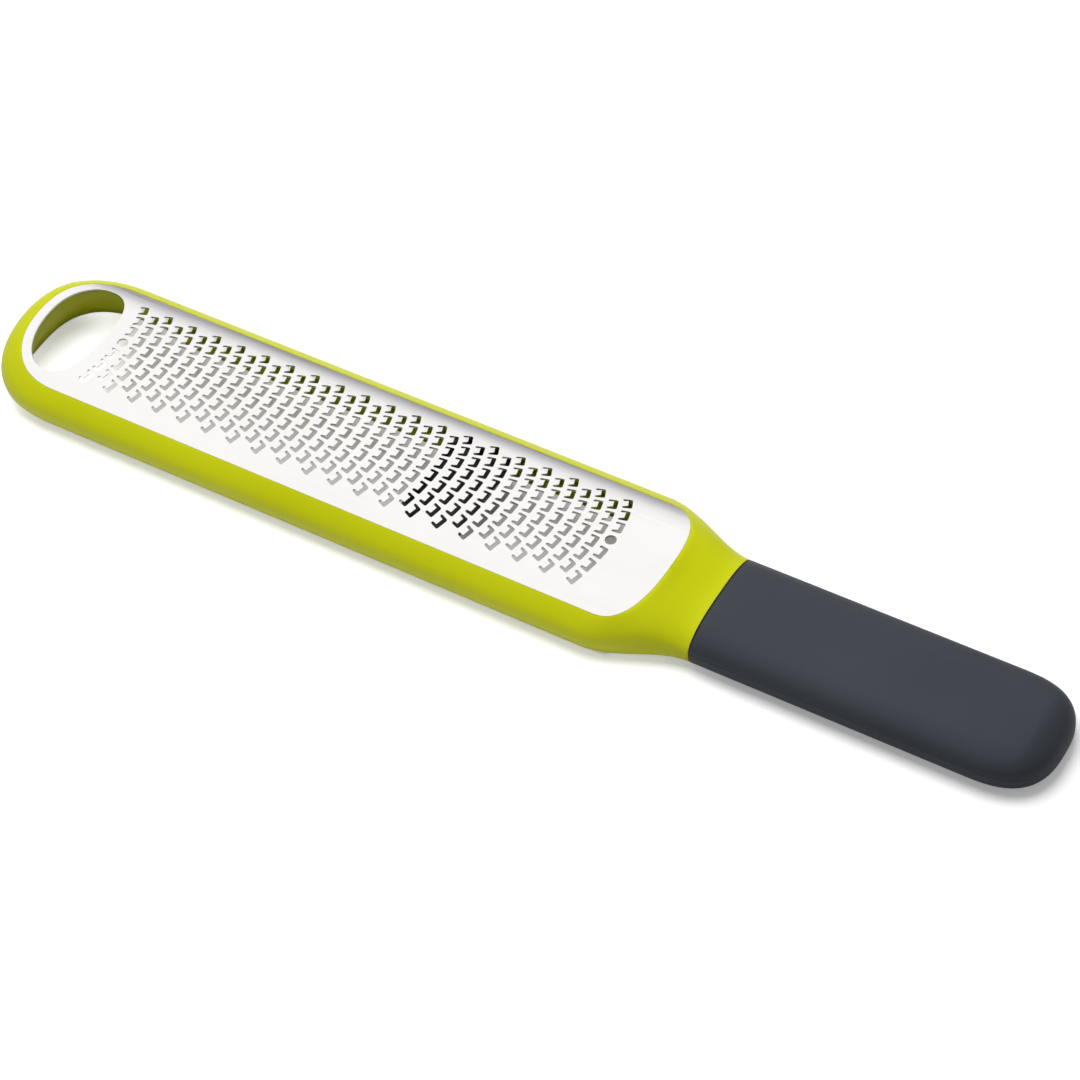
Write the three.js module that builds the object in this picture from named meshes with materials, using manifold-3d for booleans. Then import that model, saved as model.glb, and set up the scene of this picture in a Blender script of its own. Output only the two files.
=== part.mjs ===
// Citrus zester: a green frame with a soft grip, a crowned steel plate with etched teeth, and a sliding zest wiper.
// Millimetres, +Z up. X runs from the tip (-X) to the grip's butt (+X), and the origin is at the bottom centre.

import * as THREE from 'three';
import { mergeVertices } from 'three/addons/utils/BufferGeometryUtils.js';
import Module from 'manifold-3d';

const wasm = await Module();
wasm.setup();

// Driving dimensions: lengths along the tool
const noseLength = 7;
const noseSquareness = 2;
const plateLength = 178.8;
const neckLength = 12;
const neckDropLead = 3;
const gripLength = 85.5;

// Frame section
const frameWidth = 45.4;
const frameSquareness = 2;
const frameHeight = 14.2;
const wallMidHeight = 5.2;
const lipWidth = 40.8;
const tipRounding = 23.5;
const tipSquareness = 2.5;
const shoulderLength = 25;

// Plate
const plateWidth = 36.2;
const plateThickness = 0.5;
const crownRadius = 48;
const plateTipRounding = 17;
const plateTipSquareness = 2.5;
const plateEndRounding = 10.8;
const plateEndSquareness = 2.3;
const seatClearance = 0.3;

// Hanging hole
const holeMargin = 2.3;
const holeLength = 17.8;
const holeWidth = 29.4;
const holeSquareness = 2.2;

// Teeth
const columnPitch = 7.25;
const rowPitch = 4.11;
const columnRadius = 30;
const holeLand = 5;
const apronLand = 15.5;
const sideLand = 5;
const slotLength = 2.35;
const slotWidth = 3.35;
const slotArm = 0.7;
const slotBar = 1;
const slotArmRun = 0.15;
const toothRise = 0.2;
const toothTaper = 0.06;
const locatingHoleRadius = 1.4;

// Channel under the plate
const ledgeWidth = 2.2;
const channelWidth = 36.8;
const channelTipWall = 3.8;
const channelTipRounding = 21.3;
const channelTipSquareness = 2.8;
const channelEndRounding = 9;
const channelEndSquareness = 2.5;
const channelEndGap = 3.4;
const channelFlareHeight = 10;

// Guide grooves and wiper
const grooveFloor = 4.2;
const grooveHeight = 2.6;
const grooveDepth = 0.3;
const grooveTipLand = 2.5;
const runningClearance = 0.3;
const wiperLength = 14.5;
const wiperFromFieldCentre = 26;
const wiperSideGap = 0.7;
const wiperThickness = 2.4;
const wiperWall = 2;
const wiperFrontGap = 1.4;
const wiperFall = 2.4;
const lipThickness = 1.4;
const lipHeight = 2;
const lipPlateGap = 0.35;
const lipSideGap = 0.5;
const pullLength = 9;
const pullWidth = 15;
const pullOverlap = 1.2;
const pullGroundClearance = 2;
const pullRibGap = 1;
const pullRibDepth = 0.6;
const pullRibs = 3;

// Grip
const gripWidth = 30.4;
const gripThickness = 10.6;
const gripMidHeight = 3.9;
const gripSquareness = 2.6;
const gripWall = 2.3;
const gripEndRounding = 17;
const gripEndSquareness = 2.6;
const gripEdgeRounding = 7;
const gripEdgeSquareness = 2;
const gripClearance = 0.3;
const tangEndGap = 10;

// Facets
const overSteps = 20;
const underSteps = 6;
const steepestUnder = 1.48;
const arcSteps = 12;
const archSteps = 48;
const poleStep = 0.2;
const cutReach = 5;
const weldTolerance = 1e-4;

// Places along X
const overallLength = noseLength + plateLength + neckLength + gripLength;
const tipX = -overallLength / 2;
const plateTipX = tipX + noseLength;
const plateEndX = plateTipX + plateLength;
const gripStartX = plateEndX + neckLength;
const buttX = gripStartX + gripLength;
const holeEndX = plateTipX + holeMargin + holeLength;
const shoulderStartX = gripStartX - shoulderLength;

// Teeth are laid out on the flat blank: x along the tool, s across it along the arc of the crown
const blankHalf = crownRadius * Math.asin(plateWidth / 2 / crownRadius);
const firstColumnX = holeEndX + holeLand;
const columnCount = Math.floor((plateEndX - apronLand - firstColumnX) / columnPitch) + 1;
const lastColumnX = firstColumnX + (columnCount - 1) * columnPitch;
const fieldCentreX = (firstColumnX + lastColumnX) / 2;
const sideRows = Math.floor((blankHalf - sideLand) / rowPitch);
const fieldHalf = (sideRows + 0.5) * rowPitch;

const curl = (value, power) => Math.sign(value) * Math.abs(value) ** power;
const roundOff = (t, squareness) => (1 - Math.min(t, 1) ** squareness) ** (1 / squareness);
const smooth = (x, from, to) => THREE.MathUtils.smoothstep(x, from, to);

function solidFromTriangles(positions) {
  const soup = new THREE.BufferGeometry();
  soup.setAttribute('position', new THREE.Float32BufferAttribute(positions, 3));
  return solidFromGeometry(soup);
}

function solidFromGeometry(geometry) {
  const bare = geometry.clone();
  bare.deleteAttribute('normal');
  bare.deleteAttribute('uv');
  const welded = mergeVertices(bare, weldTolerance);
  const vertProperties = Float32Array.from(welded.attributes.position.array);
  const triVerts = Uint32Array.from(welded.index.array);
  return new wasm.Manifold(new wasm.Mesh({ numProp: 3, vertProperties, triVerts }));
}

function geometryFromSolid(solid) {
  const mesh = solid.getMesh();
  const geometry = new THREE.BufferGeometry();
  geometry.setAttribute('position', new THREE.BufferAttribute(mesh.vertProperties, 3));
  geometry.setIndex(new THREE.BufferAttribute(mesh.triVerts, 1));
  geometry.computeVertexNormals();
  return geometry;
}

// Skin between rings of points that run the same way round, closed by a fan at each end
function loft(rings) {
  const positions = [];
  const put = (...points) => points.forEach((p) => positions.push(p.x, p.y, p.z));
  const count = rings[0].length;
  for (let r = 0; r + 1 < rings.length; r++) {
    for (let i = 0; i < count; i++) {
      const k = (i + 1) % count;
      put(rings[r][i], rings[r][k], rings[r + 1][k]);
      put(rings[r][i], rings[r + 1][k], rings[r + 1][i]);
    }
  }
  const first = rings[0];
  const last = rings[rings.length - 1];
  const middle = (ring) => ring.reduce((sum, p) => sum.add(p), new THREE.Vector3()).divideScalar(count);
  const start = middle(first);
  const end = middle(last);
  for (let i = 0; i < count; i++) {
    const k = (i + 1) % count;
    put(start, first[k], first[i]);
    put(end, last[i], last[k]);
  }
  return solidFromTriangles(positions);
}

// Rounded ring in a plane across X: its underside is cut off flat where it meets the floor
function crossRing(x, { half, middle, up, low, squareness }) {
  const power = 2 / squareness;
  const floorAngle = Math.asin(Math.min(middle / low, 1) ** (1 / power));
  const reach = Math.min(floorAngle, steepestUnder);
  const angles = [];
  for (let i = 0; i <= overSteps; i++) {
    angles.push((i / overSteps) * Math.PI);
  }
  for (let i = 1; i <= underSteps; i++) {
    angles.push(Math.PI + (i / underSteps) * reach);
  }
  for (let i = underSteps; i > 0; i--) {
    angles.push(2 * Math.PI - (i / underSteps) * reach);
  }
  return angles.map((angle) => {
    const rise = curl(Math.sin(angle), power);
    const z = middle + rise * (rise > 0 ? up : low);
    return new THREE.Vector3(x, half * curl(Math.cos(angle), power), Math.max(z, 0));
  });
}

// Long outline with a rounded tip and end, counter-clockwise from the end's -Y corner
function longOutline({ tip, end, half, tipRounding, tipSquareness, endRounding, endSquareness }) {
  const points = [];
  for (let i = 0; i <= arcSteps; i++) {
    const angle = (i / arcSteps - 0.5) * Math.PI;
    const x = end - endRounding + endRounding * curl(Math.cos(angle), 2 / endSquareness);
    points.push(new THREE.Vector2(x, half * curl(Math.sin(angle), 2 / endSquareness)));
  }
  for (let i = 0; i <= arcSteps; i++) {
    const angle = (0.5 - i / arcSteps) * Math.PI;
    const x = tip + tipRounding - tipRounding * curl(Math.cos(angle), 2 / tipSquareness);
    points.push(new THREE.Vector2(x, half * curl(Math.sin(angle), 2 / tipSquareness)));
  }
  return points;
}

const plateOutline = (grow) => longOutline({
  tip: plateTipX - grow,
  end: plateEndX + grow,
  half: blankHalf + grow,
  tipRounding: plateTipRounding + grow,
  tipSquareness: plateTipSquareness,
  endRounding: plateEndRounding + grow,
  endSquareness: plateEndSquareness,
});

const levelRing = (outline, z) => outline.map((p) => new THREE.Vector3(p.x, p.y, z));

// Distance of a column's arc behind its middle, at arc position s
const columnBow = (s) => columnRadius - Math.sqrt(columnRadius ** 2 - s ** 2);

// Plate: a blank cut into one strip per column of teeth, pierced, and rolled to the crown
function plateGeometry() {
  const positions = [];
  const roll = ([x, s, n]) => {
    const angle = s / crownRadius;
    const radius = crownRadius + n;
    return [x, radius * Math.sin(angle), frameHeight - crownRadius + radius * Math.cos(angle)];
  };
  const put = (...corners) => corners.forEach((corner) => positions.push(...roll(corner)));

  // Edge wall from a to b with the sheet on its left, at the rises given for each end
  const wall = (a, b, riseA = 0, riseB = 0) => {
    const lowA = [a.x, a.y, riseA - plateThickness];
    const lowB = [b.x, b.y, riseB - plateThickness];
    const highA = [a.x, a.y, riseA];
    const highB = [b.x, b.y, riseB];
    put(lowA, lowB, highB);
    put(lowA, highB, highA);
  };
  const hem = (loop) => loop.forEach((point, i) => wall(point, loop[(i + 1) % loop.length]));
  const skin = (contour, holes) => {
    const all = [contour, ...holes].flat();
    for (const face of THREE.ShapeUtils.triangulateShape([...contour], holes.map((hole) => [...hole]))) {
      const [a, b, c] = face.map((index) => all[index]);
      const turn = (b.x - a.x) * (c.y - a.y) - (b.y - a.y) * (c.x - a.x);
      const [p, q, r] = turn > 0 ? [a, b, c] : [a, c, b];
      put([p.x, p.y, 0], [q.x, q.y, 0], [r.x, r.y, 0]);
      put([p.x, p.y, -plateThickness], [r.x, r.y, -plateThickness], [q.x, q.y, -plateThickness]);
    }
  };

  // Window of one tooth, with its tongue rooted on the tip side and raised towards the grip
  const tooth = (columnX, s) => {
    const turn = Math.asin(s / columnRadius);
    const place = (u, v) => new THREE.Vector2(u, v)
      .rotateAround(new THREE.Vector2(), turn)
      .add(new THREE.Vector2(columnX - columnBow(s), s));
    const tipSide = -slotLength / 2;
    const gripSide = slotLength / 2;
    const side = slotWidth / 2;
    const root = side - slotArm;
    const a = place(tipSide, -side);
    const b = place(gripSide, -side);
    const c = place(gripSide, side);
    const d = place(tipSide, side);
    const e = place(tipSide + slotArmRun, root);
    const h = place(tipSide + slotArmRun, -root);
    const g = place(gripSide - slotBar, toothTaper - root);
    const f = place(gripSide - slotBar, root - toothTaper);
    wall(a, h);
    wall(e, d);
    wall(d, c);
    wall(c, b);
    wall(b, a);
    wall(h, g, 0, toothRise);
    wall(g, f, toothRise, toothRise);
    wall(f, e, toothRise, 0);
    for (const [first, second, third] of [[h, g, f], [h, f, e]]) {
      const raised = (point) => (point === g || point === f ? toothRise : 0);
      const corner = (point, drop) => [point.x, point.y, raised(point) - drop];
      put(corner(first, 0), corner(second, 0), corner(third, 0));
      put(corner(first, plateThickness), corner(third, plateThickness), corner(second, plateThickness));
    }
    return [a, b, c, d, e, h];
  };
  const locatingHole = (x) => {
    const circle = new THREE.EllipseCurve(x, 0, locatingHoleRadius, locatingHoleRadius).getPoints(arcSteps).slice(1);
    hem([...circle].reverse());
    return circle;
  };

  // Lines between the strips, bowed like the columns and square to the plate's edge beyond the teeth
  const stations = [-blankHalf, -fieldHalf, -fieldHalf / 2, 0, fieldHalf / 2, fieldHalf, blankHalf];
  const stripLine = (x) => stations.map((s) => (
    new THREE.Vector2(x - columnBow(THREE.MathUtils.clamp(s, -fieldHalf, fieldHalf)), s)
  ));
  const stripWidth = columnPitch / 2;
  const stripCount = 2 * columnCount - 1;
  const lines = [];
  for (let k = 0; k <= stripCount; k++) {
    lines.push(stripLine(firstColumnX + (k - 0.5) * stripWidth));
  }
  for (let k = 0; k < stripCount; k++) {
    const columnX = firstColumnX + k * stripWidth;
    const shifted = k % 2;
    const holes = [];
    for (let j = -sideRows; j <= sideRows - shifted; j++) {
      const locates = j === 0 && (k === 0 || k === stripCount - 1);
      holes.push(locates ? locatingHole(columnX) : tooth(columnX, (j + shifted / 2) * rowPitch));
    }
    skin([...lines[k + 1], ...[...lines[k]].reverse()], holes);
  }

  // Tip with the hanging hole
  const outline = plateOutline(0);
  const endArc = outline.slice(0, arcSteps + 1);
  const tipArc = outline.slice(arcSteps + 1);
  const hangHole = [];
  for (let i = 0; i < 2 * arcSteps; i++) {
    const angle = (i / arcSteps) * Math.PI;
    const x = holeEndX - holeLength / 2 + (holeLength / 2) * curl(Math.cos(angle), 2 / holeSquareness);
    hangHole.push(new THREE.Vector2(x, (holeWidth / 2) * curl(Math.sin(angle), 2 / holeSquareness)));
  }
  const quarter = arcSteps / 2;
  const holeTipSide = hangHole.slice(quarter, quarter + arcSteps + 1);
  const holeGripSide = [...hangHole.slice(quarter + arcSteps), ...hangHole.slice(0, quarter + 1)].reverse();
  for (let i = 0; i < arcSteps; i++) {
    skin([tipArc[i], tipArc[i + 1], holeTipSide[i + 1], holeTipSide[i]], []);
  }
  skin([tipArc[arcSteps], ...lines[0], tipArc[0], ...holeGripSide], []);
  hem([...hangHole].reverse());

  // Apron at the grip end, in strips along X so that each follows the crown
  const lastLine = lines[stripCount];
  const onEnd = (s) => {
    const share = Math.min(Math.abs(s) / blankHalf, 1);
    return new THREE.Vector2(plateEndX - plateEndRounding * (1 - roundOff(share, plateEndSquareness)), s);
  };
  const apronEdge = [];
  for (let i = 0; i + 1 < stations.length; i++) {
    const from = stations[i];
    const to = stations[i + 1];
    const between = endArc.filter((p) => p.y > from + weldTolerance && p.y < to - weldTolerance);
    const edge = [onEnd(from), ...between, onEnd(to)];
    skin([...edge, lastLine[i + 1], lastLine[i]], []);
    apronEdge.push(...edge.slice(0, -1));
  }
  apronEdge.push(onEnd(blankHalf));

  const rightSide = lines.map((line) => line[0]);
  const leftSide = lines.map((line) => line[stations.length - 1]).reverse();
  hem([...apronEdge, ...leftSide, ...tipArc, ...rightSide]);
  return solidFromTriangles(positions);
}

// Section of the frame's outside at x: a bullnose ring that rounds off at the nose and narrows into the neck
function frameSection(x) {
  const share = smooth(x, shoulderStartX, gripStartX);
  const blend = (frame, grip) => THREE.MathUtils.lerp(frame, grip, share);
  const noseFall = roundOff(Math.max(plateTipX - x, 0) / noseLength, noseSquareness);
  const tipFall = roundOff(Math.max(tipX + tipRounding - x, 0) / tipRounding, tipSquareness);
  const sunk = roundOff(lipWidth / frameWidth, frameSquareness);
  const drop = smooth(x, plateEndX - neckDropLead, gripStartX);
  const middle = blend(wallMidHeight, gripMidHeight);
  return {
    half: blend(frameWidth / 2, gripWidth / 2) * tipFall,
    middle,
    up: (THREE.MathUtils.lerp(frameHeight, gripThickness, drop) - middle) * noseFall,
    low: blend(wallMidHeight / sunk, gripMidHeight) * noseFall,
    squareness: blend(frameSquareness, gripSquareness),
  };
}

function frameSolid() {
  const xs = [];
  for (let i = arcSteps; i > 0; i--) {
    const angle = ((i - poleStep) / arcSteps) * (Math.PI / 2);
    xs.push(tipX + tipRounding * (1 - Math.sin(angle)));
  }
  xs.push(tipX + tipRounding);
  for (let i = 0; i <= arcSteps; i++) {
    xs.push(shoulderStartX + (shoulderLength * i) / arcSteps);
  }
  const body = loft(xs.map((x) => crossRing(x, frameSection(x))));
  return body
    .add(tangSolid(0))
    .subtract(channelSolid())
    .subtract(seatSolid())
    .subtract(grooveSolid());
}

// Core of the grip, part of the frame; grown by a clearance it cuts the grip's socket
function tangSolid(grow) {
  const section = {
    half: gripWidth / 2 - gripWall - gripClearance + grow,
    middle: gripThickness / 2,
    up: gripThickness / 2 - gripWall - gripClearance + grow,
    low: gripThickness / 2 - gripWall - gripClearance + grow,
    squareness: gripSquareness,
  };
  const start = gripStartX - gripWall;
  const end = buttX - tangEndGap + grow;
  return loft([start, end].map((x) => crossRing(x, section)));
}

// Hollow under the plate, flared from the plate's ledge down to the open underside
function channelSolid() {
  const end = plateEndX - channelEndGap;
  const upper = longOutline({
    tip: plateTipX + ledgeWidth,
    end,
    half: plateWidth / 2 - ledgeWidth,
    tipRounding: plateTipRounding - ledgeWidth,
    tipSquareness: plateTipSquareness,
    endRounding: channelEndRounding,
    endSquareness: channelEndSquareness,
  });
  const lower = longOutline({
    tip: tipX + channelTipWall,
    end,
    half: channelWidth / 2,
    tipRounding: channelTipRounding,
    tipSquareness: channelTipSquareness,
    endRounding: channelEndRounding,
    endSquareness: channelEndSquareness,
  });
  return loft([
    levelRing(lower, -cutReach),
    levelRing(lower, 0),
    levelRing(upper, channelFlareHeight),
    levelRing(upper, frameHeight + cutReach),
  ]);
}

// Seat of the plate: its outline and crown, each let down by the clearance
function seatSolid() {
  const across = (p) => new THREE.Vector2(p.x, crownRadius * Math.sin(p.y / crownRadius));
  const outline = plateOutline(seatClearance).map(across);
  const prism = loft([levelRing(outline, 0), levelRing(outline, frameHeight + cutReach)]);
  const floorRadius = crownRadius - plateThickness - seatClearance;
  const spread = Math.asin((plateWidth / 2 + cutReach) / floorRadius);
  const arch = new THREE.Shape();
  arch.absarc(0, 0, floorRadius, Math.PI / 2 - spread, Math.PI / 2 + spread, false);
  arch.closePath();
  const length = overallLength;
  const geometry = new THREE.ExtrudeGeometry(arch, { depth: length, bevelEnabled: false, curveSegments: archSteps });
  geometry.translate(0, 0, -length / 2);
  geometry.applyMatrix4(new THREE.Matrix4().makeBasis(
    new THREE.Vector3(0, 1, 0),
    new THREE.Vector3(0, 0, 1),
    new THREE.Vector3(1, 0, 0),
  ));
  geometry.translate(0, 0, frameHeight - crownRadius);
  const below = new THREE.BoxGeometry(length, frameWidth, frameHeight);
  const springing = frameHeight - crownRadius + floorRadius * Math.cos(spread);
  below.translate(0, 0, springing - frameHeight / 2 + weldTolerance);
  return prism.subtract(solidFromGeometry(geometry)).subtract(solidFromGeometry(below));
}

const grooveTipX = holeEndX + grooveTipLand;
const grooveEndX = plateEndX - channelEndGap - channelEndRounding;
const grooveHalf = channelWidth / 2 + grooveDepth;

function grooveSolid() {
  const groove = new THREE.BoxGeometry(grooveEndX - grooveTipX, 2 * grooveHalf, grooveHeight);
  groove.translate((grooveTipX + grooveEndX) / 2, 0, grooveFloor + grooveHeight / 2);
  return solidFromGeometry(groove);
}

const wiperX = fieldCentreX + wiperFromFieldCentre;
const wiperTipX = wiperX - wiperLength / 2;
const wiperHalf = plateWidth / 2 - ledgeWidth - wiperSideGap;
const undersideRadius = crownRadius - plateThickness;
const crownHeight = (y, radius) => frameHeight - crownRadius + Math.sqrt(radius ** 2 - y ** 2);

// Half-round band across the tool between two radii of the crown, from x on
function crownBand(x, length, half, innerRadius, outerRadius) {
  const ring = (at) => {
    const points = [];
    for (let i = 0; i <= arcSteps; i++) {
      const y = half * (2 * (i / arcSteps) - 1);
      points.push(new THREE.Vector3(at, y, crownHeight(y, innerRadius)));
    }
    for (let i = arcSteps; i >= 0; i--) {
      const y = half * (2 * (i / arcSteps) - 1);
      points.push(new THREE.Vector3(at, y, crownHeight(y, outerRadius)));
    }
    return points;
  };
  return loft([ring(x), ring(x + length)]);
}

// Bridge across the channel with a runner on each side, its top falling away behind the scraping edge
function carrierSolid() {
  const runnerHalf = grooveHalf - runningClearance;
  const runnerLow = grooveFloor + runningClearance;
  const runnerHigh = grooveFloor + grooveHeight - runningClearance;
  const innerHalf = wiperHalf - wiperWall;
  const ring = (x, gap) => {
    const topRadius = undersideRadius - gap;
    const lowRadius = topRadius - wiperThickness;
    const points = [];
    const put = (y, z) => points.push(new THREE.Vector3(x, y, z));
    put(runnerHalf, runnerLow);
    put(runnerHalf, runnerHigh);
    put(wiperHalf, runnerHigh);
    for (let i = arcSteps; i >= 0; i--) {
      const y = wiperHalf * (2 * (i / arcSteps) - 1);
      put(y, crownHeight(y, topRadius));
    }
    put(-wiperHalf, runnerHigh);
    put(-runnerHalf, runnerHigh);
    put(-runnerHalf, runnerLow);
    put(-innerHalf, runnerLow);
    for (let i = 0; i <= arcSteps; i++) {
      const y = innerHalf * (2 * (i / arcSteps) - 1);
      put(y, crownHeight(y, lowRadius));
    }
    put(innerHalf, runnerLow);
    return points;
  };
  const stations = [0, 1].map((share) => [wiperTipX + share * wiperLength, wiperFrontGap + share * wiperFall]);
  const bridge = bridgeSolid(stations.map(([x, gap]) => ring(x, gap)));
  const rebateLength = lipThickness + runningClearance;
  const rebate = crownBand(
    wiperTipX - cutReach,
    cutReach + rebateLength,
    wiperHalf + cutReach,
    undersideRadius - lipPlateGap - lipHeight - runningClearance,
    crownRadius,
  );
  return bridge.subtract(rebate).add(pullSolid());
}

// Skin of the bridge with flat ends, whose outline is bent and takes no fan
function bridgeSolid(rings) {
  const positions = [];
  const put = (...points) => points.forEach((p) => positions.push(p.x, p.y, p.z));
  const [front, back] = rings;
  front.forEach((point, i) => {
    const k = (i + 1) % front.length;
    put(point, front[k], back[k]);
    put(point, back[k], back[i]);
  });
  const close = (ring, outward) => {
    const flat = ring.map((p) => new THREE.Vector2(p.y, p.z));
    for (const face of THREE.ShapeUtils.triangulateShape(flat, [])) {
      const [a, b, c] = face.map((index) => flat[index]);
      const turn = (b.x - a.x) * (c.y - a.y) - (b.y - a.y) * (c.x - a.x);
      const order = turn * outward > 0 ? face : [...face].reverse();
      put(...order.map((index) => ring[index]));
    }
  };
  close(front, -1);
  close(back, 1);
  return solidFromTriangles(positions);
}

// Finger pull under the carrier, with ribs across it
function pullSolid() {
  const backGap = wiperFrontGap + wiperFall;
  const top = frameHeight - plateThickness - backGap - pullOverlap;
  const shape = new THREE.Shape();
  const radius = pullLength / 2;
  const straight = pullWidth / 2 - radius;
  shape.absarc(0, straight, radius, 0, Math.PI, false);
  shape.absarc(0, -straight, radius, Math.PI, 2 * Math.PI, false);
  shape.closePath();
  const height = top - pullGroundClearance;
  const block = new THREE.ExtrudeGeometry(shape, { depth: height, bevelEnabled: false, curveSegments: arcSteps });
  block.translate(wiperX, 0, pullGroundClearance);
  let pull = solidFromGeometry(block);
  const pitch = pullLength / (pullRibs + 1);
  for (let i = 0; i < pullRibs; i++) {
    const groove = new THREE.BoxGeometry(pullRibGap, pullWidth + cutReach, 2 * pullRibDepth);
    groove.translate(wiperX + (i - (pullRibs - 1) / 2) * pitch, 0, pullGroundClearance);
    pull = pull.subtract(solidFromGeometry(groove));
  }
  return pull;
}

const lipSolid = () => crownBand(
  wiperTipX,
  lipThickness,
  wiperHalf - lipSideGap,
  undersideRadius - lipPlateGap - lipHeight,
  undersideRadius - lipPlateGap,
);

// Soft sleeve with a closed, rounded butt, over the tang
function gripSolid() {
  const start = gripStartX + gripClearance;
  const endStart = buttX - gripEndRounding;
  const xs = [start];
  for (let i = 0; i <= arcSteps; i++) {
    const angle = (Math.min(i, arcSteps - poleStep) / arcSteps) * (Math.PI / 2);
    xs.push(endStart + gripEndRounding * Math.sin(angle));
  }
  const section = (x) => {
    const endFall = roundOff(Math.max(x - endStart, 0) / gripEndRounding, gripEndSquareness);
    const edgeFall = roundOff(Math.max(x - buttX + gripEdgeRounding, 0) / gripEdgeRounding, gripEdgeSquareness);
    return {
      half: (gripWidth / 2) * endFall,
      middle: gripMidHeight,
      up: (gripThickness - gripMidHeight) * edgeFall,
      low: gripMidHeight * edgeFall,
      squareness: gripSquareness,
    };
  };
  return loft(xs.map((x) => crossRing(x, section(x)))).subtract(tangSolid(gripClearance));
}

const greenPlastic = new THREE.MeshStandardMaterial({ color: 0xbfc423, roughness: 0.45, metalness: 0 });
const steel = new THREE.MeshStandardMaterial({ color: 0xd9d9dc, roughness: 0.3, metalness: 1 });
const softGrey = new THREE.MeshStandardMaterial({ color: 0x42464e, roughness: 0.8, metalness: 0 });
const darkPlastic = new THREE.MeshStandardMaterial({ color: 0x2a2b2e, roughness: 0.55, metalness: 0 });
const softBlack = new THREE.MeshStandardMaterial({ color: 0x222326, roughness: 0.85, metalness: 0 });

const zester = new THREE.Group();

function addPiece(name, solid, material) {
  const mesh = new THREE.Mesh(geometryFromSolid(solid), material);
  mesh.name = name;
  zester.add(mesh);
}

addPiece('frame', frameSolid(), greenPlastic);
addPiece('grater_plate', plateGeometry(), steel);
addPiece('grip', gripSolid(), softGrey);
addPiece('wiper_carrier', carrierSolid(), darkPlastic);
addPiece('wiper_lip', lipSolid(), softBlack);

export default zester;
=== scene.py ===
import math

import bmesh
import bpy
import numpy as np
from mathutils import Matrix, Vector
from mathutils.geometry import delaunay_2d_cdt


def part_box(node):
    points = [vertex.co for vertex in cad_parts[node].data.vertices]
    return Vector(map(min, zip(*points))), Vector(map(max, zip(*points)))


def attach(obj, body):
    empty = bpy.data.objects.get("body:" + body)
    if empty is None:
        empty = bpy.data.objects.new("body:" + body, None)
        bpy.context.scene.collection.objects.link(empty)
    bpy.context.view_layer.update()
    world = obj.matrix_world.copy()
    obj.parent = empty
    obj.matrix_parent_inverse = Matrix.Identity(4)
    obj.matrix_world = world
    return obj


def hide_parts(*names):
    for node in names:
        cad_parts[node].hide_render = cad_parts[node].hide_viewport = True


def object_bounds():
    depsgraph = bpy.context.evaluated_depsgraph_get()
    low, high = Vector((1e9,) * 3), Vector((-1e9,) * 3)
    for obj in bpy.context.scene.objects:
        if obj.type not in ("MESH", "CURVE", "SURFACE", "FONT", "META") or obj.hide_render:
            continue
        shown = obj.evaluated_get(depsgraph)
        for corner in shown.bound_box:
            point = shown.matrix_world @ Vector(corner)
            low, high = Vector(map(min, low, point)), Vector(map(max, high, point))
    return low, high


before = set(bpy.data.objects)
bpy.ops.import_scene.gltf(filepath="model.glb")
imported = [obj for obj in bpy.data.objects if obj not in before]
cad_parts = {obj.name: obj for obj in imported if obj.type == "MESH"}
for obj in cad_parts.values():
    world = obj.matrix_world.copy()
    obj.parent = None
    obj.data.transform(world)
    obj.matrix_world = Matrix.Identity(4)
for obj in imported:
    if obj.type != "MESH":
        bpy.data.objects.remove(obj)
cadLow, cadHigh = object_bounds()
mm = 0.001
tiny = 1e-6

# places along the tool, in millimetres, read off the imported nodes
plateLow, plateHigh = [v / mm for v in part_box("grater_plate")]
gripLow, gripHigh = [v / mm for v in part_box("grip")]
tipX = cadLow.x / mm
buttX = cadHigh.x / mm
plateTipX, plateEndX = plateLow.x, plateHigh.x


def curl(value, power):
    return math.copysign(abs(value) ** power, value)


def roundOff(share, squareness=2):
    return (1 - min(max(share, 0), 1) ** squareness) ** (1 / squareness)


def smooth(x, start, end):
    t = min(max((x - start) / (end - start), 0), 1)
    return t * t * (3 - 2 * t)


def mix(a, b, share):
    return a + (b - a) * share


def between(a, b, share):
    return (mix(a[0], b[0], share), mix(a[1], b[1], share))


def inMetres(points):
    return [tuple(c * mm for c in p) for p in points]


def addObject(name, data):
    obj = bpy.data.objects.new(name, data)
    bpy.context.scene.collection.objects.link(obj)
    return obj


def softEdges(mesh, sharpAngle):
    mesh.shade_smooth()
    mesh.set_sharp_from_angle(angle=math.radians(sharpAngle))


def plainMesh(obj, modifier):
    # the evaluated shape becomes the object's own mesh, and the modifier goes
    bpy.context.view_layer.update()
    made = bpy.data.meshes.new_from_object(obj.evaluated_get(bpy.context.evaluated_depsgraph_get()))
    obj.modifiers.remove(modifier)
    obj.data = made
    return made


mendGaps = {"merge": 0.004, "sliver": 0.002}


def meshObject(name, verts, faces, material, sharpAngle):
    mesh = bpy.data.meshes.new(name)
    mesh.from_pydata(inMetres(verts), [], faces)
    bm = bmesh.new()
    bm.from_mesh(mesh)
    bmesh.ops.remove_doubles(bm, verts=bm.verts, dist=mendGaps["merge"] * mm)
    bmesh.ops.dissolve_degenerate(bm, edges=bm.edges, dist=mendGaps["sliver"] * mm)
    bmesh.ops.recalc_face_normals(bm, faces=bm.faces)
    bm.to_mesh(mesh)
    bm.free()
    softEdges(mesh, sharpAngle)
    mesh.materials.append(material)
    return addObject(name, mesh)


# nodes that the finishes, the plate's tree, the floor and the sky share

fullRange = (0, 1)
rangeNames = ("From Min", "From Max", "To Min", "To Max")


def mathNode(tree, operation, first, second=None):
    node = tree.nodes.new("ShaderNodeMath")
    node.operation = operation
    for socket, value in zip(node.inputs, (first, second)):
        if value is not None:
            tree.links.new(value, socket)
    return node.outputs["Value"]


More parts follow.
